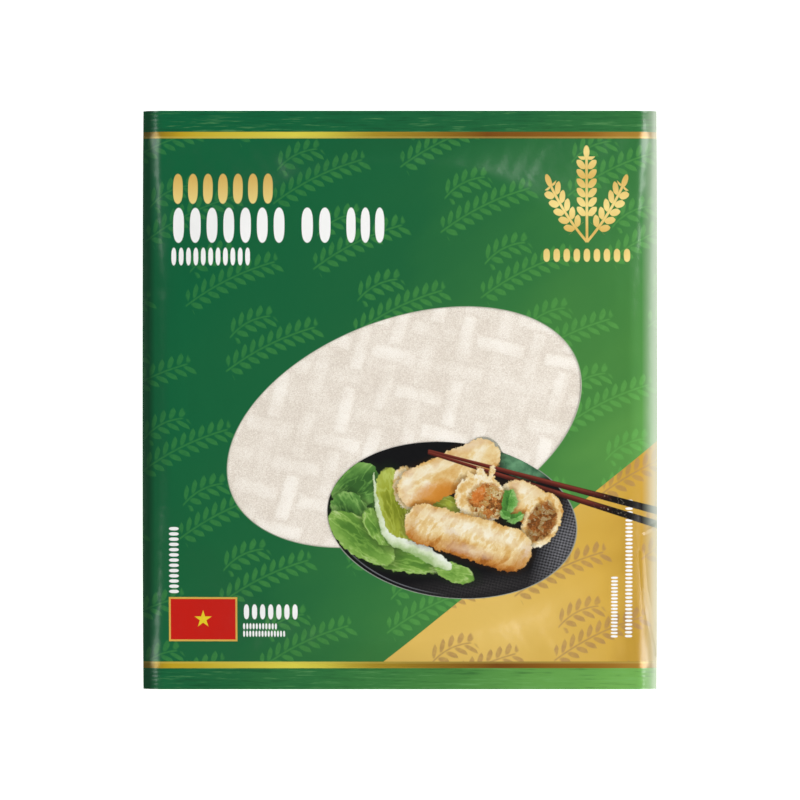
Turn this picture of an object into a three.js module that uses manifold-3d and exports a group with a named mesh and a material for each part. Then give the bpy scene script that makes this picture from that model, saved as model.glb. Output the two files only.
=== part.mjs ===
// A sealed flow-wrap packet of round rice papers, lying on its back with its printed face up.
//
// The packet is a tube of printed film, welded flat at its head and foot, around a stack of round rice
// papers. The front of the film is left clear in an oval window, which shows the top paper of the stack.
//
// Frame: millimetres, +Z up out of the printed face, +Y towards the head of the packet, +X to its right.
// The origin is on the surface that the packet lies on, under the middle of its outline.

import * as THREE from "three";
import { ParametricGeometry } from "three/addons/geometries/ParametricGeometry.js";
import { mergeVertices } from "three/addons/utils/BufferGeometryUtils.js";
import Module from "manifold-3d";

// Driving dimensions.
const PACK_WIDTH = 240; // along X, fold to fold
const PACK_LENGTH = 270; // along Y, over both end welds
const WELD_DEPTH = 10.5; // of each end weld, along Y
const WELD_THICKNESS = 1.2; // both films of a weld, drawn thicker than film
const FILM = 0.6; // wall of the tube, drawn thicker than film
const PAPER_DIAMETER = 220;
const PAPER_COUNT = 45;
const PAPER_PITCH = 0.3; // one paper, with the air that its woven relief holds
const GAP = 0.35; // between one piece and the next

// The clear window is an oval, tilted about Z. A printed picture of a plate covers its lower right part.
const WINDOW = { x: 2, y: -12.6, halfLength: 86.1, halfWidth: 50.5, tilt: 20.8 };
const PRINTED_PLATE = { x: 24.1, y: -55.8, halfLength: 58.2, halfWidth: 36.2, tilt: -6.6 };

// How finely the round shapes are stepped.
const STEPS_PER_SIDE = 20; // around the packet's outline
const SLOPE_STEPS = 5; // from the stack's rim out to the packet's outline
const OVAL_STEPS = 72;
const PAPER_STEPS = 96;

const stackHeight = PAPER_COUNT * PAPER_PITCH;
const stackRadius = PAPER_DIAMETER / 2;
const packHeight = stackHeight + 2 * (GAP + FILM);
const middle = packHeight / 2; // height of the end welds and the side folds
const bodyLength = PACK_LENGTH - 2 * WELD_DEPTH;

const PRINT_GREEN = 0x2b6e41;
const CLEAR_FILM = 0xf4f6f5;
const RICE_PAPER = 0xece2d7;

// Where the straight line from the middle through a step of the outline meets the rectangle, for a turn
// from 0 to 1 around it. The first step is the corner at low X and low Y.
function outlinePoint(turn, halfWidth, halfLength) {
  const step = (turn * 4) % 4;
  const side = Math.floor(step);
  const along = 2 * (step - side) - 1;
  return [
    new THREE.Vector2(along * halfWidth, -halfLength),
    new THREE.Vector2(halfWidth, along * halfLength),
    new THREE.Vector2(-along * halfWidth, halfLength),
    new THREE.Vector2(-halfWidth, -along * halfLength),
  ][side];
}

// How high the film stands at a share from the stack's rim (0) to the packet's outline (1), as a share
// of its height on the stack. Along a side fold the film turns round the stack in a quarter of an
// ellipse, and towards the welds and the corners it slopes down flat.
function filmHeight(share, edge, halfWidth, halfLength) {
  const onSide = Math.abs(edge.x) > halfWidth - 1e-6;
  const towardsCorner = onSide ? THREE.MathUtils.smoothstep(Math.abs(edge.y) / halfLength, 0, 1) : 1;
  const round = Math.sqrt(Math.max(0, 1 - share * share));
  return THREE.MathUtils.lerp(round, 1 - share, towardsCorner);
}

// A closed pillow: flat discs of the rim's radius above and below, which slope together to a rectangle.
function pillow(halfWidth, halfLength, halfHeight, rimRadius) {
  const rows = SLOPE_STEPS + 1;
  const surface = (turn, rise, target) => {
    const edge = outlinePoint(turn, halfWidth, halfLength);
    const row = Math.round(rise * 2 * rows);
    const top = row > rows;
    const down = top ? 2 * rows - row : row; // 0 at the pole, 1 at the rim, rows at the outline
    if (down === 0) {
      target.set(0, 0, top ? halfHeight : -halfHeight);
      return;
    }
    const share = Math.sin(((down - 1) / SLOPE_STEPS) * (Math.PI / 2));
    const reach = edge.length();
    const radius = THREE.MathUtils.lerp(rimRadius, reach, share);
    const height = halfHeight * filmHeight(share, edge, halfWidth, halfLength);
    target.set((edge.x * radius) / reach, (edge.y * radius) / reach, top ? height : -height);
  };
  return new ParametricGeometry(surface, 4 * STEPS_PER_SIDE, 2 * rows);
}

// An upright prism over an oval, grown by a margin, between two heights.
function ovalPrism(oval, margin, low, high) {
  const shape = new THREE.Shape();
  const length = oval.halfLength + margin;
  const width = oval.halfWidth + margin;
  shape.absellipse(oval.x, oval.y, length, width, 0, 2 * Math.PI, false, THREE.MathUtils.degToRad(oval.tilt));
  const outline = new THREE.Shape(shape.getSpacedPoints(OVAL_STEPS).slice(0, OVAL_STEPS));
  const prism = new THREE.ExtrudeGeometry(outline, { depth: high - low, bevelEnabled: false });
  return prism.translate(0, 0, low);
}

const wasm = await Module();
wasm.setup();

// A three.js geometry as a solid, and a solid as a three.js geometry.
function solidOf(geometry) {
  const bare = geometry.clone();
  bare.deleteAttribute("normal");
  bare.deleteAttribute("uv");
  const merged = mergeVertices(bare, 1e-4);
  return new wasm.Manifold(
    new wasm.Mesh({
      numProp: 3,
      vertProperties: merged.attributes.position.array,
      triVerts: new Uint32Array(merged.index.array),
    }),
  );
}

function geometryOf(solid) {
  const mesh = solid.getMesh();
  const geometry = new THREE.BufferGeometry();
  geometry.setAttribute("position", new THREE.BufferAttribute(new Float32Array(mesh.vertProperties), 3));
  geometry.setIndex(new THREE.BufferAttribute(new Uint32Array(mesh.triVerts), 1));
  geometry.computeVertexNormals();
  return geometry;
}

// The clear part of the front, as an upright prism: the oval less the printed plate.
function clearPart(margin) {
  const low = packHeight - 2 * FILM;
  const high = packHeight + FILM;
  const oval = solidOf(ovalPrism(WINDOW, margin, low, high));
  const plate = solidOf(ovalPrism(PRINTED_PLATE, -margin, low - 1, high + 1));
  return oval.subtract(plate);
}

// The film tube, hollow, with both ends welded flat.
function closedEnvelope() {
  const outside = pillow(PACK_WIDTH / 2, bodyLength / 2, middle, stackRadius + GAP);
  const sideInset = 2 * FILM;
  const weldInset = 5 * FILM; // the films lie together for this far before each weld
  const inside = pillow(
    PACK_WIDTH / 2 - sideInset,
    bodyLength / 2 - weldInset,
    middle - FILM,
    stackRadius + GAP,
  );
  const overlap = weldInset / 2; // how far each weld's plate runs into the tube
  let envelope = solidOf(outside.translate(0, 0, middle));
  for (const end of [-1, 1]) {
    const weld = new THREE.BoxGeometry(PACK_WIDTH, WELD_DEPTH + overlap, WELD_THICKNESS);
    weld.translate(0, (end * (PACK_LENGTH - WELD_DEPTH - overlap)) / 2, middle);
    envelope = envelope.add(solidOf(weld));
  }
  return { envelope, cavity: solidOf(inside.translate(0, 0, middle)) };
}

function filmPouch() {
  const { envelope, cavity } = closedEnvelope();
  const material = new THREE.MeshStandardMaterial({ color: PRINT_GREEN, roughness: 0.35, metalness: 0 });
  const mesh = new THREE.Mesh(geometryOf(envelope.subtract(cavity).subtract(clearPart(0))), material);
  mesh.name = "film_pouch";
  return mesh;
}

// The clear oval of the front film, level with the printed film around it.
function windowPane() {
  const clear = clearPart(-GAP);
  const slab = new THREE.BoxGeometry(PACK_WIDTH, PACK_LENGTH, FILM);
  slab.translate(0, 0, packHeight - FILM / 2);
  const material = new THREE.MeshStandardMaterial({
    color: CLEAR_FILM,
    roughness: 0.1,
    metalness: 0,
    transparent: true,
    opacity: 0.2,
  });
  const mesh = new THREE.Mesh(geometryOf(clear.intersect(solidOf(slab))), material);
  mesh.name = "window_pane";
  return mesh;
}

// The stack of round papers, with its edges eased as a loose stack's are.
function paperStack() {
  const ease = 2 * PAPER_PITCH;
  const profile = [
    [0, 0],
    [stackRadius - ease, 0],
    [stackRadius, ease],
    [stackRadius, stackHeight - ease],
    [stackRadius - ease, stackHeight],
    [0, stackHeight],
  ].map(([radius, height]) => new THREE.Vector2(radius, height));
  const geometry = new THREE.LatheGeometry(profile, PAPER_STEPS);
  const material = new THREE.MeshStandardMaterial({ color: RICE_PAPER, roughness: 0.75, metalness: 0 });
  const mesh = new THREE.Mesh(geometry, material);
  mesh.name = "rice_paper_stack";
  mesh.rotation.x = Math.PI / 2; // the lathe turns about Y, and the stack stands along Z
  mesh.position.z = FILM + GAP;
  return mesh;
}

const packet = new THREE.Group();
packet.add(filmPouch(), windowPane(), paperStack());

export default packet;
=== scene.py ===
import math

import bmesh
import bpy
from mathutils import Matrix, Vector, noise


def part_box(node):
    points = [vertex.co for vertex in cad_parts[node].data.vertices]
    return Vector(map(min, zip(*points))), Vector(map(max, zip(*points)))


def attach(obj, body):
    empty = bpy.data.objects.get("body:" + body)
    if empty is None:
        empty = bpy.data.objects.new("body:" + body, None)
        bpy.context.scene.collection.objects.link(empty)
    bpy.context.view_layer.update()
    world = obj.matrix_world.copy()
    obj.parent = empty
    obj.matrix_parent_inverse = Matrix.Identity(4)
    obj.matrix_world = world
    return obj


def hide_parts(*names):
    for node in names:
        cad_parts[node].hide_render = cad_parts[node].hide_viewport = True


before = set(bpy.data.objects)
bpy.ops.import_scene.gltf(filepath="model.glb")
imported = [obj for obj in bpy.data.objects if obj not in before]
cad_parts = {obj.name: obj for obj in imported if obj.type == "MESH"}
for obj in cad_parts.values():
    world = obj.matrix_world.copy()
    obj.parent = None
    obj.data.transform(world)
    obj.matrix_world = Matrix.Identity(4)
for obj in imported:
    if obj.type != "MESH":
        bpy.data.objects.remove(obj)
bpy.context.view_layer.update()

# ---------------------------------------------------------------------------------------------------
# The rice papers
#
# Round sheets of rice starch, dried on a mat of woven bamboo that leaves its weave in them, and stacked
# loose in the packet. Only the top sheet shows, so it alone carries the weave, and the rest are plain.

MM = 0.001

stack_low, stack_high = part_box("rice_paper_stack")
pouch_low, pouch_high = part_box("film_pouch")

PAPER_RADIUS = (stack_high.x - stack_low.x) / 2 - 1.5 * MM
PAPER_COUNT = 46
STACK_BOTTOM = stack_low.z
STACK_TOP = pouch_high.z - 0.55 * MM  # just under the film
RIM_SINK = 0.45 * MM  # how far the top paper's rim bends down, over its outer part
PAPER_PITCH = (STACK_TOP - RIM_SINK - STACK_BOTTOM) / PAPER_COUNT
PAPER_THICKNESS = 0.9 * PAPER_PITCH
PAPER_DRIFT = 0.35 * MM  # how far a paper lies out of line with the stack

MAT_TURN = Matrix.Rotation(math.radians(14), 2)  # from the packet's directions to the bamboo mat's
MAT_PITCH = (15.8 * MM, 15.3 * MM)  # from one crossing of its strips to the next, along and across
MAT_START = Vector((23.4 * MM, 19.6 * MM))  # the middle of one strip, in the mat's own directions
STRIP_LENGTH = 21 * MM
STRIP_WIDTH = 6.0 * MM
STRIP_RELIEF = 0.12 * MM
STRIP_EDGE = 1.3 * MM  # over which a strip's mark rises
FIBRE_RELIEF = 0.035 * MM  # of the long fibres in each strip
PAPER_CELL = 0.9 * MM  # of the top paper's mesh


class Value:
    """A node's output, on which arithmetic adds Math nodes."""

    def __init__(self, finish, socket):
        self.finish = finish
        self.socket = socket

    def math(self, operation, *others, clamp=False):
        settings = {"operation": operation, "use_clamp": clamp}
        return self.finish.node("ShaderNodeMath", settings, self, *others)

    def __add__(self, other):
        return self.math("ADD", other)

    def __sub__(self, other):
        return self.math("SUBTRACT", other)

    def __rsub__(self, other):
        return self.math("MULTIPLY_ADD", -1, other)

    def __mul__(self, other):
        return self.math("MULTIPLY", other)

    def __truediv__(self, other):
        return self.math("DIVIDE", other)

    def __pow__(self, other):
        return self.math("POWER", other)

    def __abs__(self):
        return self.math("ABSOLUTE")

    __radd__ = __add__
    __rmul__ = __mul__


class Finish:
    """A material, whose nodes are added one at a time."""

    def __init__(self, name):
        self.material = bpy.data.materials.new(name)
        self.material.use_nodes = True
        self.tree = self.material.node_tree
        self.tree.nodes.clear()

    def feed(self, socket, value):
        if isinstance(value, Value):
            self.tree.links.new(value.socket, socket)
        elif socket.type == "RGBA":
            socket.default_value = (*value[:3], 1)
        else:
            socket.default_value = value

    def node(self, kind, settings, *values, output=0, at=None, **named):
        """Adds a node, sets it, and feeds its sockets in turn, by number (at) and by name."""
        node = self.tree.nodes.new(kind)
        for setting, value in settings.items():
            if setting == "stops":
                while len(node.color_ramp.elements) < len(value):
                    node.color_ramp.elements.new(1)
                for element, (position, colour) in zip(node.color_ramp.elements, value):
                    element.position = position
                    element.color = (*colour, 1)
            else:
                setattr(node, setting, value)
        for socket, value in zip(node.inputs, values):
            self.feed(socket, value)
        for number, value in (at or {}).items():
            self.feed(node.inputs[number], value)
        for name, value in named.items():
            self.feed(node.inputs[name.replace("_", " ")], value)
        return Value(self, node.outputs[output])

    def place(self):
        """Where a point is on the packet."""
        return self.node("ShaderNodeTexCoord", {}, output=3)

    def parts(self, kind, value):
        """The first two parts of a place or of a colour."""
        first = self.node(kind, {}, value)
        return first, Value(self, first.socket.node.outputs[1])

    def spot(self, place):
        """How far a point is to the right and up, in millimetres, seen from above."""
        right, up = self.parts("ShaderNodeSeparateXYZ", place)
        return right / MM, up / MM

    def mottle(self, place, size, detail=2, roughness=0.5, output=0):
        """Soft random spots of about that size in millimetres, from 0 to 1."""
        scale = 1 / (size * MM)
        values = {"Vector": place, "Scale": scale, "Detail": detail, "Roughness": roughness}
        return self.node("ShaderNodeTexNoise", {}, output=output, **values)

    def stretched(self, place, tilt, width):
        """A place turned and narrowed, so that spots laid on it run along a line at that tilt."""
        settings = {"vector_type": "TEXTURE"}
        angles, scale = (0, 0, math.radians(tilt)), (1, width, 1)
        return self.node("ShaderNodeMapping", settings, place, (0, 0, 0), angles, scale)

    def ramp(self, share, *stops):
        return self.node("ShaderNodeValToRGB", {"stops": stops}, share)

    def mix(self, share, under, over):
        """One colour over another, by the share of the upper one."""
        settings = {"data_type": "RGBA"}
        return self.node("ShaderNodeMix", settings, share, at={6: under, 7: over}, output=2)

    def bump(self, height, depth):
        """A normal that stands for a relief of that depth in metres, where height is 1."""
        return self.node("ShaderNodeBump", {}, Strength=1, Distance=depth, Height=height)

    def surface(self, shader):
        output = self.tree.nodes.new("ShaderNodeOutputMaterial")
        self.tree.links.new(shader.socket, output.inputs["Surface"])
        return self.material


def ink(red, green, blue):
    """A printer's colour, from 0 to 255, as the light it sends back."""
    shares = red / 255, green / 255, blue / 255
    return tuple((c + 0.055) ** 2.4 / 1.055**2.4 if c > 0.04 else c / 12.92 for c in shares)


def add_piece(name, bm, slot, *materials):
    """Makes a piece of the packet from a bmesh."""
    mesh = bpy.data.meshes.new(name)
    bm.to_mesh(mesh)
    bm.free()
    for material in materials:
        mesh.materials.append(material)
    piece = bpy.data.objects.new(name, mesh)
    bpy.context.scene.collection.objects.link(piece)
    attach(piece, "root")
    return piece


def cut_along(bm, outline):
    """Cuts a mesh's faces along the line where outline(x, y) passes through zero."""
    new_corners = []
    for edge in list(bm.edges):
        start, end = (outline(v.co.x, v.co.y) for v in edge.verts)
        if start * end < 0:
            _, corner = bmesh.utils.edge_split(edge, edge.verts[0], start / (start - end))
            new_corners.append(corner)
    bmesh.ops.connect_verts(bm, verts=new_corners)


def keep_faces(bm, wanted):
    unwanted = [face for face in bm.faces if not wanted(face.calc_center_median())]
    bmesh.ops.delete(bm, geom=unwanted, context="FACES")


def ease(value, start, end):
    """0 up to start, 1 from end on, and a smooth rise between."""
    share = min(1, max(0, (value - start) / (end - start)))
    return share * share * (3 - 2 * share)


def strip_mark(along, across):
    """The relief that one bamboo strip leaves, from its middle out."""
    beyond = max(abs(along) - STRIP_LENGTH / 2, abs(across) - STRIP_WIDTH / 2)
    if beyond > STRIP_EDGE / 2:
        return 0
    rise = ease(-beyond, -STRIP_EDGE / 2, STRIP_EDGE / 2)
    crown = 1 - 0.35 * (across / (STRIP_WIDTH / 2)) ** 2
    fibres = math.cos(across / STRIP_WIDTH * 6 * math.pi)
    fibres *= noise.noise((along / MM / 9, across / MM, 3))
    return rise * (STRIP_RELIEF * max(0, crown) + FIBRE_RELIEF * fibres)


def mat_mark(x, y):
    """The relief of the woven mat at a point of the paper."""
    waver = noise.noise_vector((x / MM / 17, y / MM / 17, 4)) * 1.3 * MM
    spot = MAT_TURN @ Vector((x, y)) - MAT_START + waver.xy
    column, row = round(spot.x / MAT_PITCH[0]), round(spot.y / MAT_PITCH[1])
    relief = 0
    for i in (column - 1, column, column + 1):
        for j in (row - 1, row, row + 1):
            along, across = spot.x - i * MAT_PITCH[0], spot.y - j * MAT_PITCH[1]
            if (i + j) % 2:
                along, across = across, along
            # Each strip bore down differently.
            pressed = 0.85 + noise.noise((i * 3.7, j * 5.3, 6))
            relief = max(relief, pressed * strip_mark(along, across))
    return relief * (0.9 + 0.6 * noise.noise((x / MM / 30, y / MM / 30, 8)))


PAPER_TONES = (0.1, ink(220, 208, 193)), (0.5, ink(238, 229, 216)), (0.9, ink(252, 246, 236))


def rice_paper_finish():
    finish = Finish("rice_paper_sheet")
    place = finish.place()
    grain = finish.mottle(place, 0.65, detail=3, roughness=0.7)
    cloud = finish.mottle(place, 14, detail=2)
    specks = finish.mottle(place, 1.6, detail=1)
    mark = finish.node("ShaderNodeAttribute", {"attribute_name": "mat_mark"}, output=2)
    tone = (grain - 0.5) * 2.1 + (cloud - 0.5) * 0.6 + (specks - 0.5) * 0.4
    tone = tone + mark * (cloud + 0.1) * 0.56 + 0.38
    colour = finish.ramp(tone, *PAPER_TONES)
    pores = grain + specks * 0.6
    shader = finish.node(
        "ShaderNodeBsdfPrincipled",
        {},
        Base_Color=colour,
        Roughness=grain * 0.25 + 0.5,
        Specular_IOR_Level=0.3,
        Normal=finish.bump(pores, 0.06 * MM),
    )
    return finish.surface(shader)


def top_paper():
    cells = round(2 * PAPER_RADIUS / PAPER_CELL)
    bm = bmesh.new()
    bmesh.ops.create_grid(bm, x_segments=cells, y_segments=cells, size=PAPER_RADIUS * 1.001)
    cut_along(bm, lambda x, y: math.hypot(x, y) - PAPER_RADIUS)
    keep_faces(bm, lambda spot: math.hypot(spot.x, spot.y) < PAPER_RADIUS)
    mark = bm.verts.layers.float.new("mat_mark")
    for vertex in bm.verts:
        x, y = vertex.co.xy
        flat = 1 - ease(math.hypot(x, y), 0.85 * PAPER_RADIUS, PAPER_RADIUS)
        relief = flat * mat_mark(x, y)
        buckle = 0.05 * MM * noise.noise((x / MM / 60, y / MM / 60, 1))
        vertex.co.z = STACK_TOP + relief + buckle - RIM_SINK * (1 - flat)
        vertex[mark] = relief / STRIP_RELIEF
    rim = [edge for edge in bm.edges if edge.is_boundary]
    skirt = bmesh.ops.extrude_edge_only(bm, edges=rim)["geom"]
    for vertex in (part for part in skirt if isinstance(part, bmesh.types.BMVert)):
        vertex.co.z = STACK_TOP - RIM_SINK - PAPER_THICKNESS
    bmesh.ops.contextual_create(bm, geom=[edge for edge in bm.edges if edge.is_boundary])
    bmesh.ops.recalc_face_normals(bm, faces=bm.faces)
    for face in bm.faces:
        face.smooth = abs(face.normal.z) > 0.3
    return bm


def lower_papers():
    bm = bmesh.new()
    for count in range(PAPER_COUNT - 1):
        low = STACK_BOTTOM + count * PAPER_PITCH
        drift = noise.noise_vector((count * 7.3, 0.5, 0.5)) * PAPER_DRIFT
        radius = PAPER_RADIUS - PAPER_DRIFT
        disc = bmesh.ops.create_circle(bm, cap_ends=True, segments=72, radius=radius)
        face = disc["verts"][0].link_faces[0]
        bmesh.ops.translate(bm, verts=disc["verts"], vec=(drift.x, drift.y, low))
        lifted = bmesh.ops.extrude_face_region(bm, geom=[face], use_keep_orig=True)["geom"]
        corners = [part for part in lifted if isinstance(part, bmesh.types.BMVert)]
        bmesh.ops.translate(bm, verts=corners, vec=(0, 0, PAPER_THICKNESS))
    bmesh.ops.recalc_face_normals(bm, faces=bm.faces)
    return bm


paper = rice_paper_finish()
top = add_piece("rice_paper_top", top_paper(), "rice_paper", paper)
papers = add_piece("rice_papers", lower_papers(), "rice_paper", paper)
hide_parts("rice_paper_stack")
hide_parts("rice_paper_stack")

# ---------------------------------------------------------------------------------------------------
# The film
#
# One web of thin film, folded round the stack into a flat tube and welded across at its head and foot.
# It lies flat on the papers, rolls over at the side folds, and slopes and puckers towards the welds.

HALF_WIDTH = (pouch_high.x - pouch_low.x) / 2
HALF_LENGTH = (pouch_high.y - pouch_low.y) / 2
MIDDLE = (pouch_high.z + pouch_low.z) / 2
WELD_DEPTH = 10.5 * MM
BODY_HALF_LENGTH = HALF_LENGTH - WELD_DEPTH
WELD_GAP = 0.12 * MM  # half of a weld's thickness
WELD_RIB = 1.9 * MM  # from one crimped rib of a weld to the next
FRONT_RISE = pouch_high.z - MIDDLE - 0.05 * MM  # of the front film over the middle of the packet
BACK_RISE = MIDDLE - pouch_low.z - 0.22 * MM  # of the back film under it, with room for the seam
RIM_RADIUS = PAPER_RADIUS + 4 * MM  # where the film leaves the papers
RIM_BEND = 3.5 * MM  # how gently it does
FOLD_ROLL = 14 * MM  # width of the curved side folds
FOLD_RISE = 1.6 * MM  # of the side folds over the middle of the packet
CORNER_DROOP = 5.2 * MM  # of the welds' ends, under that
CORNER_REACH = 10 * MM
WELD_DROOP = 1.2 * MM

FLAT_COLUMNS, ROLL_COLUMNS = 146, 17
BODY_ROWS, WELD_ROWS = 160, 22

# The clear window is a tilted oval, and a printed plate of food covers its lower right part. Each is
# its middle, its half length and half width in millimetres, and its tilt.
WINDOW = (2.0, -12.6), (85.7, 50.1), 20.8
PLATE = (24.1, -55.8), (58.0, 36.0), -6.6
ROLL_TIP = (38.6, -26.0), (8.9, 8.9), 0  # the end of a spring roll, which stands over the plate's rim


def oval_gap(x, y, middle, size, tilt):
    """About how far a point lies outside a tilted oval, in millimetres."""
    spot = Matrix.Rotation(math.radians(-tilt), 2) @ (Vector((x, y)) / MM - Vector(middle))
    return (math.hypot(spot.x / size[0], spot.y / size[1]) - 1) * size[1]


def picture_gap(x, y):
    return min(oval_gap(x, y, *PLATE), oval_gap(x, y, *ROLL_TIP))


def spread_row(share):
    """The place along the packet of a row of the mesh, given as a share from -1 to 1."""
    step = abs(share) * (BODY_ROWS / 2 + WELD_ROWS)
    body = min(step, BODY_ROWS / 2) * BODY_HALF_LENGTH / (BODY_ROWS / 2)
    weld = max(0, step - BODY_ROWS / 2) * WELD_DEPTH / WELD_ROWS
    return math.copysign(body + weld, share)


def spread_column(share):
    """The place across the packet of a column, and how much of the film's rise is left there."""
    step = abs(share) * (FLAT_COLUMNS / 2 + ROLL_COLUMNS)
    flat = min(step, FLAT_COLUMNS / 2) * (HALF_WIDTH - FOLD_ROLL) / (FLAT_COLUMNS / 2)
    past = max(0, step - FLAT_COLUMNS / 2) / ROLL_COLUMNS
    return math.copysign(flat + FOLD_ROLL * past, share), 1 - past**2


def fullness(x, y):
    """How much of the packet's thickness is left at a point, from all of it on the papers to none."""
    to_weld = max(0, BODY_HALF_LENGTH - abs(y))
    past_rim = math.hypot(x, y) - RIM_RADIUS
    past_rim = (past_rim + math.hypot(past_rim, RIM_BEND)) / 2
    return to_weld / (to_weld + past_rim)


def droop(x, y):
    """How far both films sink at the side folds and the welds."""
    past_fold = max(0, abs(x) - (HALF_WIDTH - FOLD_ROLL)) / FOLD_ROLL
    into_corner = max(0, abs(x) - (HALF_WIDTH - CORNER_REACH)) / CORNER_REACH
    at_corner = 1 - fullness(x, y)  # the emptier the fold, the further its edge sinks
    at_weld = ease(abs(y), BODY_HALF_LENGTH - 12 * MM, HALF_LENGTH)
    wave = 0.4 * MM * noise.noise((x / MM / 38, math.copysign(4, y), 2))
    at_sides = CORNER_DROOP * at_corner * into_corner**2 - FOLD_RISE * past_fold**2
    return at_sides + at_weld * (WELD_DROOP + wave)


def pucker(x, y, full, side):
    """The small folds and dents of a film that is wrapped round a flat, round stack."""
    around = Vector((x, y)).normalized() * 11
    loose = 4 * full * (1 - full)  # none on the papers or at the weld
    pleat = noise.noise((around.x, around.y, 5 * side))
    pleat += 0.5 * noise.noise((around.x * 2.3, around.y * 2.3, side))
    dent = 0.5 + 0.5 * noise.noise((x / MM / 55, y / MM / 55, 3 * side))
    by_fold = ease(abs(x), HALF_WIDTH - 36 * MM, HALF_WIDTH - 18 * MM)
    crease = noise.noise((x / MM / 5, y / MM / 42, 9 * side))
    by_weld = ease(BODY_HALF_LENGTH - abs(y), 0, 6 * MM)
    return by_weld * MM * (0.32 * loose * pleat + 0.1 * dent + 0.14 * by_fold * crease)


def rise(x, y, side):
    """How far one film stands off the middle of the packet, before it rolls over at the folds."""
    to_weld = BODY_HALF_LENGTH - abs(y)
    if to_weld <= 0:
        rib = math.cos(to_weld / WELD_RIB * 2 * math.pi)
        return WELD_GAP * (1 + rib * (0.2 + 0.35 * noise.noise((x / MM / 22, y / MM / 2.5, side))))
    height = FRONT_RISE if side > 0 else BACK_RISE
    full = fullness(x, y)
    return WELD_GAP + (height - WELD_GAP) * full - pucker(x, y, full, side)


def film_sheet(side):
    """The front film (side 1) or the back film (side -1)."""
    bm = bmesh.new()
    columns, rows = FLAT_COLUMNS + 2 * ROLL_COLUMNS, BODY_ROWS + 2 * WELD_ROWS
    bmesh.ops.create_grid(bm, x_segments=columns, y_segments=rows, size=1)
    for vertex in bm.verts:
        at_end = abs(vertex.co.y) > 1 - 0.5 / rows
        x, left = spread_column(vertex.co.x)
        y = spread_row(vertex.co.y)
        height = 0 if at_end else rise(x, y, side) * left
        vertex.co = (x, y, MIDDLE - droop(x, y) + side * height)
    if side < 0:
        bmesh.ops.reverse_faces(bm, faces=bm.faces)
    for face in bm.faces:
        face.smooth = True
        face.material_index = 0 if side > 0 else 1
    return bm


def in_window(spot):
    return oval_gap(spot.x, spot.y, *WINDOW) < 0 and picture_gap(spot.x, spot.y) > 0


tube_mesh = film_sheet(1)
cut_along(tube_mesh, lambda x, y: oval_gap(x, y, *WINDOW))
cut_along(tube_mesh, picture_gap)
window_mesh = tube_mesh.copy()
keep_faces(window_mesh, in_window)
keep_faces(tube_mesh, lambda spot: not in_window(spot))
back_film = bpy.data.meshes.new("back_film")
back_sheet = film_sheet(-1)
back_sheet.to_mesh(back_film)
back_sheet.free()
tube_mesh.from_mesh(back_film)
bmesh.ops.remove_doubles(tube_mesh, verts=tube_mesh.verts, dist=0.001 * MM)
for edge in tube_mesh.edges:
    at_weld_end = min(abs(vertex.co.y) for vertex in edge.verts) > HALF_LENGTH - 0.01 * MM
    at_fold = min(abs(vertex.co.x) for vertex in edge.verts) > HALF_WIDTH - 0.01 * MM
    edge.smooth = not (at_weld_end or at_fold)

# ---------------------------------------------------------------------------------------------------
# The print on the front
#
# Green ink that lightens towards the lower right, with a gold corner, a pattern of rice sprigs, gold
# stripes by the welds, and the plate of spring rolls, all printed inside the film and under its gloss.

PRINT_WIDTH, PRINT_LENGTH = round(2 * HALF_WIDTH / MM), round(2 * HALF_LENGTH / MM)
STRIPE = 122.0, 125.1  # how far its edges lie from the middle, at the head and the foot
GOLD_CORNER = (-7.9, -122.1), (120.0, -18.9)  # two points of its edge

# Cycles holds only so long a shader, and this one is near that: a few more marks would turn the film
# black.
front = Finish("printed_front")
place = front.place()
spot = x, y = front.spot(place)


def shown(gap, soft=0.2):
    """1 inside a shape and 0 outside it, from how far outside it a point lies."""
    return gap.math("MULTIPLY_ADD", -1 / soft, 0.5, clamp=True)


def turned(spot, middle, tilt=0, size=(1, 1)):
    """Where a point lies along and across a tilted shape, in shares of its half length and width."""
    x, y = spot

    def share(right, up, half):
        start = (middle[0] * right + middle[1] * up) / half
        return x.math("MULTIPLY_ADD", right / half, y.math("MULTIPLY_ADD", up / half, -start))

    cosine, sine = math.cos(math.radians(tilt)), math.sin(math.radians(tilt))
    return share(cosine, sine, size[0]), share(-sine, cosine, size[1])


def distance(x, y):
    return x.math("MULTIPLY_ADD", x, y * y).math("SQRT")


def oval(spot, middle, size, tilt=0):
    """How far a point lies outside an oval, in millimetres."""
    along, across = turned(spot, middle, tilt, size)
    return distance(along, across).math("MULTIPLY_ADD", min(size), -min(size))


def bar(spot, start, end, radius, end_radius):
    """How far a point lies outside a round-ended bar, and its place across the bar."""
    run = Vector(end) - Vector(start)
    along, across = turned(spot, start, math.degrees(math.atan2(run.y, run.x)))
    past = along - along.math("MAXIMUM", 0).math("MINIMUM", run.length)
    return distance(past, across) - along * ((end_radius - radius) / run.length) - radius, across


def box(x, y, left, right, bottom, top):
    beside = abs(x - (left + right) / 2) - (right - left) / 2
    above = abs(y - (bottom + top) / 2) - (top - bottom) / 2
    return beside.math("MAXIMUM", above)


# Green ground.
unevenness = front.mottle(front.stretched(place, 32, 0.45), 55, detail=2)
across_share = x / PRINT_WIDTH + 0.5
fade = across_share * (0.69 - y / 1000) - y / 1125
colour = front.ramp(
    fade + (unevenness - 0.5) * 0.16,
    (0.0, ink(8, 98, 58)),
    (0.25, ink(27, 101, 57)),
    (0.42, ink(50, 118, 60)),
    (0.62, ink(74, 136, 64)),
    (0.85, ink(112, 173, 82)),
    (1.0, ink(128, 188, 94)),
)

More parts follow.
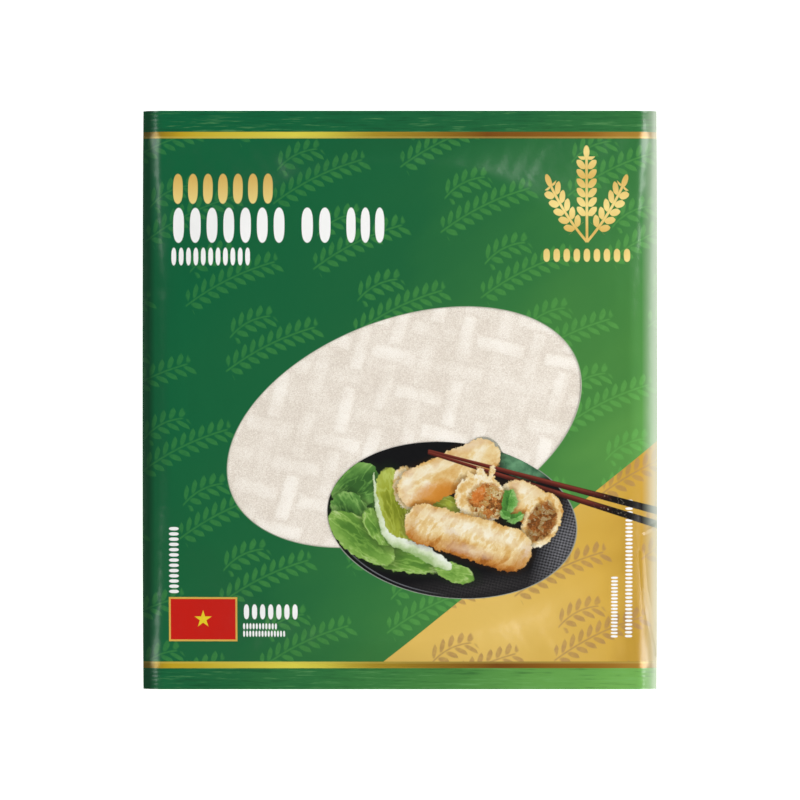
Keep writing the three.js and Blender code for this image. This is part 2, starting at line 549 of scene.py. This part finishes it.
# Gold corner.
corner_run = Vector(GOLD_CORNER[1]) - Vector(GOLD_CORNER[0])
corner_tilt = math.degrees(math.atan2(corner_run.y, corner_run.x))
_, over_corner = turned(spot, GOLD_CORNER[0], corner_tilt)
in_body = shown(abs(y) - STRIPE[0])
gold_share = shown(over_corner) * in_body
gold = front.ramp(
    across_share + (unevenness - 0.5) * 0.2,
    (0.5, ink(226, 188, 94)),
    (0.7, ink(227, 190, 100)),
    (0.8, ink(219, 180, 85)),
    (0.88, ink(214, 172, 72)),
    (0.95, ink(194, 152, 54)),
)
colour = front.mix(gold_share, colour, gold)

# Sprigs of rice, in rows that climb to the right.
SPRIG_STEPS = (59.2, 17.1), (18.7, -30.4)  # from one sprig to the next, two ways
SPRIG_TILT = 26
GRAIN_PITCH = 4.6


def sprigs(middle, length):
    """Where there is a sprig, given the middle of one of them."""
    (ax, ay), (bx, by) = SPRIG_STEPS
    area = ax * by - ay * bx
    off_x, off_y = x - middle[0], y - middle[1]
    i = (off_x * (by / area) - off_y * (bx / area) + 0.5).math("FRACT") - 0.5
    j = (off_y * (ax / area) - off_x * (ay / area) + 0.5).math("FRACT") - 0.5
    along, across = turned((i * ax + j * bx, i * ay + j * by), (0, 0), SPRIG_TILT)
    across = across + along * along * (9 / length**2) - 1.1  # the stem's bend
    beside = abs(across)
    stem = shown(beside - 0.4, 0.5) * shown(abs(along + 1) - length / 2, 1)
    step = ((along / GRAIN_PITCH + across.math("SIGN") * 0.25).math("FRACT") - 0.5) * GRAIN_PITCH
    grain = shown(oval((step, beside), (0.4, 3.1), (3.2, 1.15), 48), 0.5)
    grain = grain * shown(abs(along - 1) - length / 2, 1)
    return grain.math("MAXIMUM", stem)


brush = front.mottle(place, 2.2, detail=3)
sprig = sprigs((-47.5, 113.4), 21).math("MAXIMUM", sprigs((-38.0, 102.9), 46))
sprig = sprig * (brush + 0.35).math("MINIMUM", 1) * in_body
sprig_green = front.ramp(
    fade,
    (0.0, ink(48, 128, 64)),
    (0.4, ink(74, 148, 68)),
    (0.7, ink(100, 170, 80)),
)
sprig_colour = front.mix(gold_share, sprig_green, ink(170, 130, 84))
colour = front.mix(sprig * 0.75, colour, sprig_colour)

# Gold stripes.
foil = front.ramp(
    across_share + (front.mottle(place, 30, detail=1) - 0.5) * 0.1,
    (0.0, ink(150, 118, 26)),
    (0.06, ink(206, 172, 36)),
    (0.3, ink(238, 226, 82)),
    (0.45, ink(186, 154, 44)),
    (0.68, ink(130, 78, 18)),
    (0.86, ink(158, 106, 26)),
    (0.97, ink(184, 138, 52)),
)
stripe_middle, stripe_half = sum(STRIPE) / 2, (STRIPE[1] - STRIPE[0]) / 2
stripe_share = shown(abs(abs(y) - stripe_middle) - stripe_half)
glint = shown(abs(abs(y) - STRIPE[0] - 0.5) - 0.3, 0.6)
colour = front.mix(stripe_share, colour, front.mix(glint * 0.4, foil, ink(226, 208, 110)))


# Rows of upright rice grains, where a packet has its words.
def grain_row(x, y, left, right, bottom, top, count):
    pitch = (right - left) / count
    number = (x - left) / pitch
    inside = shown(abs(number - count / 2) - count / 2, 0.01)
    beside = (number.math("FRACT") - 0.5) / 0.32
    above = abs(y - (bottom + top) / 2) / ((top - bottom) / 2)
    reach = distance(beside, above**1.5)
    return shown((reach - 1) * (pitch * 0.32)) * inside


gold_ink = front.ramp(
    (y / 26).math("FRACT"),
    (0.0, ink(222, 182, 94)),
    (0.45, ink(246, 222, 140)),
    (1.0, ink(222, 182, 94)),
)
gold_rows = grain_row(x, y, -106.9, -57.9, 91.3, 105.3, 7)
gold_rows = gold_rows.math("MAXIMUM", grain_row(x, y, 65.8, 107.9, 64.2, 70.3, 9))
colour = front.mix(gold_rows, colour, gold_ink)

# Each row is its left, right, bottom and top edges and its number of grains. A column is a row turned.
WHITE_ROWS = (
    (-106.9, -52.3, 73.1, 89.4, 7),
    (-47.2, -30.8, 73.1, 89.4, 2),
    (-26.1, -6.1, 73.1, 89.4, 3),
    (-106.9, -69.1, 62.6, 70.8, 11),
    (-73.3, -46.9, -102.0, -95.0, 7),
    (-73.3, -57.0, -106.7, -103.9, 11),
    (-73.3, -53.2, -110.2, -107.4, 14),
)
WHITE_COLUMNS = (
    (-90.3, -58.6, -107.4, -102.9, 13),
    (-110.9, -81.9, 98.2, 101.4, 18),
    (-110.9, -46.0, 104.8, 108.2, 36),
)
white_rows = 0
for row in WHITE_ROWS:
    white_rows = grain_row(x, y, *row).math("MAXIMUM", white_rows)
for column in WHITE_COLUMNS:
    white_rows = grain_row(y, x, *column).math("MAXIMUM", white_rows)
colour = front.mix(white_rows, colour, ink(253, 253, 251))

# A sheaf of three rice ears, as the packet's ornament.
SHEAF_FOOT = 86.9, 73.5
EAR_GRAIN = 4.4  # from one pair of grains to the next
sheaf = None
for tilt, length, stem in ((131, 31, 8), (90, 40, 12), (49, 31, 8)):
    along, across = turned(spot, SHEAF_FOOT, tilt)
    hang = math.cos(math.radians(tilt)) * -7 / length**2  # which bends the outer ears
    across = across + along * along * hang
    number = ((along - stem) / EAR_GRAIN).math("FRACT") - 0.5
    in_ear = abs(along - (stem + length) / 2) - (length - stem) / 2
    grain = oval((number * EAR_GRAIN, abs(across)), (0.0, 2.6), (2.8, 1.5), 38)
    grain = grain.math("MAXIMUM", in_ear)
    stalk = (abs(across) - 0.6).math("MAXIMUM", abs(along - length / 2) - length / 2)
    tip = oval((along, across), (length + 2.2, 0), (3.0, 1.4))
    ear = grain.math("MINIMUM", stalk).math("MINIMUM", tip)
    sheaf = ear if sheaf is None else sheaf.math("MINIMUM", ear)
colour = front.mix(shown(sheaf), colour, gold_ink)

# A red panel with a gold border and a yellow star.
PANEL = -107.6, -75.7, -112.4, -91.7
PANEL_BORDER = 0.85
STAR_RADIUS = 4.2
POINT_ANGLE = 2 * math.pi / 5
panel_gap = box(x, y, *PANEL)
colour = front.mix(shown(panel_gap), colour, ink(222, 178, 80))
colour = front.mix(shown(panel_gap + PANEL_BORDER), colour, ink(202, 26, 14))
star_x, star_y = x - (PANEL[0] + PANEL[1]) / 2, y - (PANEL[2] + PANEL[3]) / 2
point = star_x.math("ARCTAN2", star_y) / POINT_ANGLE
from_point = abs(point - (point + 0.5).math("FLOOR")) * POINT_ANGLE
reach = distance(star_x, star_y)
notch = Vector((math.cos(POINT_ANGLE / 2), math.sin(POINT_ANGLE / 2))) * 0.382 * STAR_RADIUS
edge = (notch - Vector((STAR_RADIUS, 0))).normalized()
past_tip = (reach * from_point.math("COSINE") - STAR_RADIUS) * edge.y
star_gap = past_tip - reach * from_point.math("SINE") * edge.x
colour = front.mix(shown(star_gap), colour, ink(238, 212, 40))

# A fine pale line round the window.
colour = front.mix(shown(oval(spot, *WINDOW) - 0.2, 0.3), colour, ink(206, 206, 188))

# The plate. Wavy copies of the place give the food its uneven outlines.
def strayed(spot, size, reach, detail, roughness):
    """A place moved about at random, by up to that reach, in waves of that size."""
    spots = front.mottle(place, size, detail, roughness, output=1)
    strays = zip(front.parts("ShaderNodeSeparateColor", spots), spot)
    return [stray.math("MULTIPLY_ADD", 2 * reach, part - reach) for stray, part in strays]


wavy = strayed(spot, 3.4, 1.7, 3, 0.6)
ragged = strayed(wavy, 1.3, 1.2, 3, 0.7)
coarse = front.mottle(place, 5.5, detail=3, roughness=0.6)
fine = front.mottle(place, 0.9, detail=3, roughness=0.65)

plate_gap = oval(spot, *PLATE)
plate_share = shown(plate_gap)
colour = front.mix(shown(plate_gap - 0.3, 0.3), colour, ink(150, 156, 146))
rib = (x * 1.1 + y * 4.6 + coarse * 2).math("SINE") * 0.3
rib = rib + (x * 4.4 - y * 1.2).math("SINE") * 0.2 + 0.5
sheen = shown(oval(spot, (77, -66), (7, 20), -24), 10) * rib * fine * 1.5
low_sheen = shown(oval(spot, (40, -87), (32, 4), 6), 7) * (rib * 0.5 + 0.3) * fine * 1.5
rim = shown(abs(plate_gap + 1.3) - 0.2, 0.3) * shown(x - 12, 20) * shown(y + 55, 20)
plate = front.mix(sheen * 0.9, ink(14, 14, 16), ink(150, 150, 156))
plate = front.mix(low_sheen * 0.5, plate, ink(92, 88, 88))
plate = front.mix(rim * 0.6, plate, ink(140, 142, 148))
colour = front.mix(plate_share, colour, plate)

# Blurred leaves behind.
behind = oval(wavy, (57, -31.5), (11, 4.2), -16).math("MINIMUM", oval(wavy, (51, -27.5), (5, 4)))
blurred = front.ramp(coarse, (0.3, ink(50, 92, 64)), (0.7, ink(106, 156, 116)))
colour = front.mix(shown(behind, 3) * plate_share, colour, blurred)


def leaf(under, middle, size, tilt, *greens):
    """Draws a leaf over a colour, with its shadow, its veins and its paler edge."""
    gap = oval(wavy, middle, size, tilt)
    veins = front.mottle(front.stretched(place, tilt, 0.35), 11, detail=3, roughness=0.5)
    crest = (1 - abs(veins - 0.5) * 16).math("MAXIMUM", 0)
    tone = veins * 0.7 + coarse * 0.3 + crest * 0.24 + gap * 0.05 + 0.1
    shaded = front.mix(shown(gap - 1, 3) * plate_share * 0.6, under, ink(22, 36, 18))
    return front.mix(shown(gap, 0.4) * plate_share, shaded, front.ramp(tone, *greens))


DARK_LEAF = (
    (0.3, ink(56, 100, 44)),
    (0.5, ink(88, 138, 62)),
    (0.7, ink(120, 168, 84)),
    (0.95, ink(174, 206, 128)),
)
GREEN_LEAF = (
    (0.3, ink(78, 124, 46)),
    (0.5, ink(108, 154, 62)),
    (0.7, ink(142, 182, 86)),
    (0.95, ink(200, 220, 156)),
)
HEART_LEAF = (
    (0.25, ink(124, 136, 34)),
    (0.5, ink(160, 170, 58)),
    (0.8, ink(188, 202, 100)),
    (1.0, ink(222, 230, 160)),
)
LEAVES = (
    ((-14.5, -56.0), (13.0, 11.0), 60, DARK_LEAF),
    ((-20.5, -40.0), (12.5, 10.5), 40, DARK_LEAF),
    ((-23.5, -52.5), (10.5, 8.5), -60, DARK_LEAF),
    ((2.3, -73.4), (20.0, 6.6), -10, GREEN_LEAF),
    ((-18.0, -64.0), (18.5, 8.4), -36, GREEN_LEAF),
    ((25.4, -80.2), (9.5, 4.4), -18, GREEN_LEAF),
    ((-10.5, -59.0), (10.0, 5.0), -58, GREEN_LEAF),
    ((22.0, -49.0), (10.0, 4.5), -20, HEART_LEAF),
    ((-2.0, -50.5), (19.0, 9.0), 102, HEART_LEAF),
)
for middle, size, tilt, greens in LEAVES:
    colour = leaf(colour, middle, size, tilt, *greens)

# The heart leaf's thick white rib.
LEAF_RIB = (
    ((-12.2, -34.0), 0.4),
    ((-10.7, -49.3), 0.9),
    ((-6.8, -62.0), 1.4),
    ((-2.3, -66.0), 2.3),
    ((9.3, -70.0), 3.3),
    ((17.5, -74.6), 3.0),
    ((23.4, -77.6), 1.4),
)
RIB_TONES = (0.2, ink(158, 188, 122)), (0.5, ink(212, 226, 188)), (0.75, ink(236, 243, 226))
for (start, radius), (end, end_radius) in zip(LEAF_RIB, LEAF_RIB[1:]):
    gap, across = bar(wavy, start, end, radius, end_radius)
    white = front.ramp(across * 0.12 + coarse * 0.8 + 0.1, *RIB_TONES)
    colour = front.mix(shown(gap, 0.4), colour, white)

# Spring rolls, fried until their thin wrappers are crisp and translucent.
CRUST = (
    (0.06, ink(132, 76, 24)),
    (0.26, ink(196, 136, 62)),
    (0.46, ink(222, 178, 106)),
    (0.66, ink(238, 212, 156)),
    (0.88, ink(252, 244, 220)),
)
BROWNED = ink(182, 108, 38)
OILED = ink(214, 138, 46)
SHINE = ink(253, 247, 228)
ROLL_SHADE = ink(40, 26, 12)
blotch = front.mottle(place, 8, detail=2)


def crust(place, across, light=0.0, size=6):
    """The wrapper's colour, lit from the upper left, with folds and browned lower parts."""
    folds = front.mottle(place, size, detail=4, roughness=0.55)
    crest = (1 - abs(folds - 0.52) * 14).math("MAXIMUM", 0)
    round_light = (across - 0.3) * (across - 0.3) * 0.3
    tone = folds * 0.8 + blotch * 0.7 + fine * 0.2 + crest * 0.12 - round_light - 0.3
    return front.ramp(tone + light, *CRUST)


def roll(under, start, end, radius, end_radius, light, streaks, *marks):
    """Draws a whole spring roll over a colour, with its shadow and the oval marks on its crust.

    Its streaks are given as their tilt from the roll's, their narrowness and their size.
    """
    streak_tilt, narrowness, streak_size = streaks
    run = Vector(end) - Vector(start)
    gap, across = bar(ragged, start, end, radius, end_radius)
    tilt = math.degrees(math.atan2(run.y, run.x)) + streak_tilt
    streaked = front.stretched(place, tilt, narrowness)
    across = across / radius
    shaded = front.mix(shown(gap - 1.2, 3) * 0.6, under, ROLL_SHADE)
    browned = shown(across + 0.66, 0.7) * 0.5
    surface = front.mix(browned, crust(streaked, across, light, streak_size), BROWNED)
    for middle, size, tilt, stain in marks:
        surface = front.mix(shown(oval(ragged, middle, size, tilt), 4) * 0.5, surface, stain)
    return front.mix(shown(gap, 0.4), shaded, surface)


cells = front.node("ShaderNodeTexVoronoi", {}, Vector=place, Scale=0.6 / MM, Randomness=1, output=1)
cells = front.node("ShaderNodeSeparateColor", {}, cells)
filling = front.ramp(
    cells * 0.5 + fine * 0.9 - 0.24,
    (0.08, ink(70, 40, 18)),
    (0.25, ink(134, 84, 38)),
    (0.42, ink(196, 118, 54)),
    (0.58, ink(184, 150, 84)),
    (0.8, ink(226, 208, 164)),
)

# The roll at the back, which the chopsticks hold, with its torn end.
torn_end = shown(oval(ragged, (3.0, -40.8), (10.2, 6.0), 98), 0.5)
colour = front.mix(torn_end, colour, crust(place, 0.35, 0.08, 3))
colour = roll(
    colour,
    (9.0, -40.8),
    (38.6, -26.2),
    9.8,
    8.5,
    0.07,
    (6, 0.6, 13),
    ((16, -44.0), (10, 5.0), 20, OILED),
    ((16, -44.0), (10, 5.0), 20, OILED),  # the same stain again, which makes it stronger
    ((33, -21.0), (6, 1.6), 14, SHINE),
    ((16, -31.5), (7, 1.4), 24, SHINE),
    ((4.0, -38.5), (8, 2.0), 80, SHINE),
)

# Chopsticks, lacquered red-brown, with black handles.
for start, end in (((13.6, -23.7), (120.0, -51.6)), ((13.5, -24.6), (120.0, -58.0))):
    gap, across = bar(spot, start, end, 0.75, 1.85)
    lacquer = front.ramp(
        across * 0.28 + 0.5,
        (0.1, ink(44, 12, 10)),
        (0.45, ink(92, 34, 26)),
        (0.7, ink(130, 58, 44)),
        (0.9, ink(70, 22, 18)),
    )
    flecks = ((fine - 0.6) * 9).math("ADD", 0, clamp=True) * shown(abs(x - 96) - 8, 6)
    handle = front.mix(flecks * 0.8, ink(20, 16, 13), ink(196, 186, 164))
    colour = front.mix(shown(gap + 0.1, 0.3), colour, front.mix(shown(92 - x, 14), lacquer, handle))

# The roll at the right and the cut roll in the middle, with their filling.
colour = roll(
    colour,
    (54.0, -45.5),
    (66.0, -51.5),
    8.6,
    9.2,
    0.04,
    (60, 0.7, 8),
    ((58, -41.5), (6, 1.6), -24, SHINE),
)
mouth = oval(ragged, (65.8, -56.4), (11.4, 7.6), 68)
colour = front.mix(shown(mouth - 0.8, 0.4), colour, crust(place, mouth * 0.3, 0.06, 4))
colour = front.mix(shown(mouth + 1.2, 1.2), colour, front.mix(0.45, filling, ink(96, 52, 20)))
body = oval(ragged, (37.6, -46.0), (12.4, 11.0), -30)
colour = front.mix(shown(body - 1.2, 3) * 0.6, colour, ROLL_SHADE)
colour = front.mix(shown(body, 0.4), colour, crust(place, body * 0.12 + 0.3, 0.13, 4))
TORN_TIPS = (
    ((38.0, -35.5), (2.0, 4.6), 16),
    ((42.5, -35.0), (1.6, 5.0), -14),
    ((33.0, -36.5), (1.5, 3.6), 30),
)
for middle, size, tilt in TORN_TIPS:
    tip_share = shown(oval(ragged, middle, size, tilt), 0.4)
    colour = front.mix(tip_share, colour, crust(place, 0.35, 0.05, 3))
mouth = oval(ragged, (40.6, -47.2), (8.8, 7.9), -30)
colour = front.mix(shown(mouth - 0.6, 1.0) * 0.6, colour, ink(176, 116, 50))
colour = front.mix(shown(mouth, 1.2), colour, filling)
carrot = shown(oval(ragged, (36.6, -44.3), (4.6, 2.4), 60), 1.2)
colour = front.mix(carrot * 0.65, colour, ink(222, 124, 48))

# The roll in front.
colour = roll(
    colour,
    (11.2, -57.6),
    (50.6, -69.4),
    9.4,
    10.4,
    0.09,
    (72, 0.5, 8),
    ((27, -68), (7, 2.0), -62, BROWNED),
    ((5, -62), (6, 2.2), 80, BROWNED),
    ((57, -74), (7, 2.6), 60, BROWNED),
    ((20, -54.5), (9, 1.5), -16, SHINE),
    ((42, -62.5), (9, 1.8), -20, SHINE),
    ((33, -70), (6, 1.2), -14, SHINE),
)

# Mint.
MINT = (0.2, ink(50, 102, 38)), (0.5, ink(96, 158, 68)), (0.8, ink(174, 214, 136))
MINT_LEAVES = (
    ((50.8, -47.4), (5.8, 3.6), 82),
    ((53.8, -54.8), (3.8, 2.2), 24),
    ((49.0, -53.4), (3.0, 1.9), -40),
)
for middle, size, tilt in MINT_LEAVES:
    _, across = turned(wavy, middle, tilt, size)
    gap = oval(wavy, middle, size, tilt)
    tone = fine * 0.4 + coarse * 0.3 + shown(across, 0.2) * 0.2
    tone = tone + shown(abs(across), 0.3) * 0.3 + gap * 0.08 + 0.1
    colour = front.mix(shown(gap - 0.6, 1.6) * 0.5, colour, ink(30, 40, 16))
    colour = front.mix(shown(gap, 0.4), colour, front.ramp(tone, *MINT))

# Painted light: highlight and shade streaks on the crimped welds, highlight at the right fold, shade at
# the left.
in_weld = shown(STRIPE[1] - abs(y), 0.6)
streak = front.mottle(front.stretched(place, 0, 0.07), 15, detail=3, roughness=0.6)
# Painted highlight and painted shade in streaks along the crimped welds.
painted_crimp_highlight = ((streak - 0.56) * 6).math("ADD", 0, clamp=True)
colour = front.mix(painted_crimp_highlight * in_weld * 0.3, colour, ink(128, 190, 118))
painted_crimp_shade = ((0.46 - streak) * 6).math("ADD", 0, clamp=True)
colour = front.mix(painted_crimp_shade * in_weld * 0.4, colour, ink(8, 56, 32))
# Painted highlight along the right fold.
colour = front.mix(shown(116.1 - x, 7.4) * 0.72, colour, ink(184, 192, 176))
# Painted shade along the left fold.
colour = front.mix(shown(x + 115.4, 3) * 0.65, colour, ink(4, 38, 22))

# A few sharp creases by the right fold.
CREASES = (
    ((120.0, -118.5), (116.7, -103.0), 0.15, 0.35),
    ((116.7, -103.0), (113.8, -87.8), 0.35, 0.3),
    ((113.8, -87.8), (112.3, -70.6), 0.3, 0.1),
    ((114.0, -61.5), (120.0, -58.0), 0.2, 0.2),
)
creased = 0
for start, end, radius, end_radius in CREASES:
    gap, _ = bar(spot, start, end, radius, end_radius)
    creased = shown(gap - 0.5, 1.6).math("MAXIMUM", creased)

FILM_ROUGHNESS = 0.21
FILM_GLOSS = 0.7
crinkle = front.mottle(place, 9, detail=2, roughness=0.45) + creased * 1.6
front_shader = front.node(
    "ShaderNodeBsdfPrincipled",
    {},
    Base_Color=colour,
    Metallic=stripe_share * 0.15,
    Roughness=(brush - 0.5) * 0.08 + FILM_ROUGHNESS,
    Specular_IOR_Level=FILM_GLOSS,
    Normal=front.bump(crinkle, 0.2 * MM),
)
front_print = front.surface(front_shader)

# ---------------------------------------------------------------------------------------------------
# The back, the window and the finished tube
#
# The back has the same green ink and gold stripes. The window is the same film left unprinted, so it
# shows the top paper and only a little gloss.

back = Finish("printed_back")
place = back.place()
x, y = back.spot(place)
fade = (0.5 - x / PRINT_WIDTH) * (1.5 - y / PRINT_LENGTH) * 0.5
fade = fade + (back.mottle(place, 45) - 0.5) * 0.06
green = back.ramp(fade, (0.0, ink(10, 85, 52)), (0.5, ink(57, 120, 62)), (1.0, ink(128, 186, 94)))
gilt = back.ramp(
    x / PRINT_WIDTH + 0.5,
    (0.0, ink(190, 156, 36)),
    (0.5, ink(140, 90, 24)),
    (1.0, ink(208, 196, 72)),
)
stripe_share = shown(abs(abs(y) - stripe_middle) - stripe_half)
back_shader = back.node(
    "ShaderNodeBsdfPrincipled",
    {},
    Base_Color=back.mix(stripe_share, green, gilt),
    Roughness=(back.mottle(place, 2.2, detail=3) - 0.5) * 0.08 + FILM_ROUGHNESS,
    Specular_IOR_Level=FILM_GLOSS,
    Normal=back.bump(back.mottle(place, 9), 0.2 * MM),
)
back_print = back.surface(back_shader)

clear = Finish("window_film")
place = clear.place()
gloss = clear.node(
    "ShaderNodeBsdfPrincipled",
    {},
    Base_Color=(1, 1, 1),
    Roughness=0.16,
    Normal=clear.bump(clear.mottle(place, 12), 0.25 * MM),
)
see_through = clear.node("ShaderNodeBsdfTransparent", {}, (1, 1, 1))
glancing = clear.node("ShaderNodeLayerWeight", {}, 0.5, output=1)
gloss_share = glancing**4 * 0.6 + 0.04
clear_film = clear.surface(clear.node("ShaderNodeMixShader", {}, gloss_share, see_through, gloss))

tube = add_piece("film_tube", tube_mesh, "printed_film", front_print, back_print)
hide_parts("film_pouch")
window = add_piece("window_film", window_mesh, "clear_film", clear_film)
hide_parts("window_pane")

# ---------------------------------------------------------------------------------------------------
# The back seam
#
# The web's two edges are welded together along the back, and the seam is laid flat to one side.

SEAM_WIDTH = 12 * MM
SEAM_THICKNESS = 0.1 * MM
SEAM_RIB = 1.6 * MM


def seam_strip():
    bm = bmesh.new()
    bmesh.ops.create_grid(bm, x_segments=24, y_segments=540, size=1)
    for vertex in bm.verts:
        x = (vertex.co.x + 1) / 2 * SEAM_WIDTH
        y = vertex.co.y * HALF_LENGTH
        under = MIDDLE - droop(x, y) - rise(x, y, -1)
        rib = 0.02 * MM * math.cos(x / SEAM_RIB * 2 * math.pi)
        edge = 0.05 * MM * noise.noise((x / MM / 6, y / MM / 14, 1))
        vertex.co = (x, y, max(pouch_low.z + 0.02 * MM, under - 0.09 * MM + rib - abs(edge)))
    bmesh.ops.reverse_faces(bm, faces=bm.faces)
    bmesh.ops.solidify(bm, geom=bm.faces, thickness=-SEAM_THICKNESS)
    bmesh.ops.recalc_face_normals(bm, faces=bm.faces)
    for face in bm.faces:
        face.smooth = True
    return bm


seam = add_piece("back_seam", seam_strip(), "printed_film", back_print)
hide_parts("film_pouch")

# ---------------------------------------------------------------------------------------------------
# The setting
#
# A pale lit table top, soft lamps round the packet, the strongest at its right, and a camera that looks
# straight down.

VIEW_WIDTH = 373.1 * MM
LENS, SENSOR = 200, 36


def lamp(name, turn, lean, distance, size, power):
    """A soft panel that faces the packet, at a turn round it and a lean from overhead, in degrees."""
    data = bpy.data.lights.new(name, "AREA")
    data.shape = "RECTANGLE"
    data.size, data.size_y = size
    data.energy = power
    light = bpy.data.objects.new(name, data)
    light.rotation_euler = (0, math.radians(lean), math.radians(turn))
    light.location = light.rotation_euler.to_matrix() @ Vector((0, 0, distance))
    bpy.context.scene.collection.objects.link(light)


lamp("fold_lamp", turn=0, lean=80, distance=1.4, size=(0.4, 1.6), power=5)
lamp("right_head_lamp", turn=42, lean=50, distance=1.8, size=(1.0, 1.0), power=17.5)
lamp("right_foot_lamp", turn=-42, lean=50, distance=1.8, size=(1.0, 1.0), power=17)
lamp("left_head_lamp", turn=140, lean=50, distance=1.8, size=(0.9, 0.9), power=7)
lamp("left_foot_lamp", turn=-140, lean=50, distance=1.8, size=(0.9, 0.9), power=6)

world = bpy.data.worlds.new("studio")
world.use_nodes = True
world.node_tree.nodes["Background"].inputs["Color"].default_value = (1, 1, 1, 1)
world.node_tree.nodes["Background"].inputs["Strength"].default_value = 0.08
bpy.context.scene.world = world

table = Finish("table_top")
table_shader = table.node(
    "ShaderNodeBsdfPrincipled",
    {},
    Base_Color=(0.9, 0.9, 0.9),
    Roughness=0.8,
    Specular_IOR_Level=0.1,
    Emission_Color=(1, 1, 1),
    Emission_Strength=0.75,
)
table_bm = bmesh.new()
bmesh.ops.create_grid(table_bm, x_segments=1, y_segments=1, size=12)
bmesh.ops.translate(table_bm, verts=table_bm.verts, vec=(0, 0, pouch_low.z))
table_mesh = bpy.data.meshes.new("table_top")
table_bm.to_mesh(table_mesh)
table_bm.free()
table_mesh.materials.append(table.surface(table_shader))
table_top = bpy.data.objects.new("table_top", table_mesh)
bpy.context.scene.collection.objects.link(table_top)

camera_data = bpy.data.cameras.new("camera")
camera_data.lens = LENS
camera_data.sensor_width = SENSOR
camera = bpy.data.objects.new("camera", camera_data)
camera.location = (0, 0, MIDDLE + VIEW_WIDTH * LENS / SENSOR)
bpy.context.scene.collection.objects.link(camera)
bpy.context.scene.camera = camera
bpy.context.scene.view_settings.view_transform = "Standard"
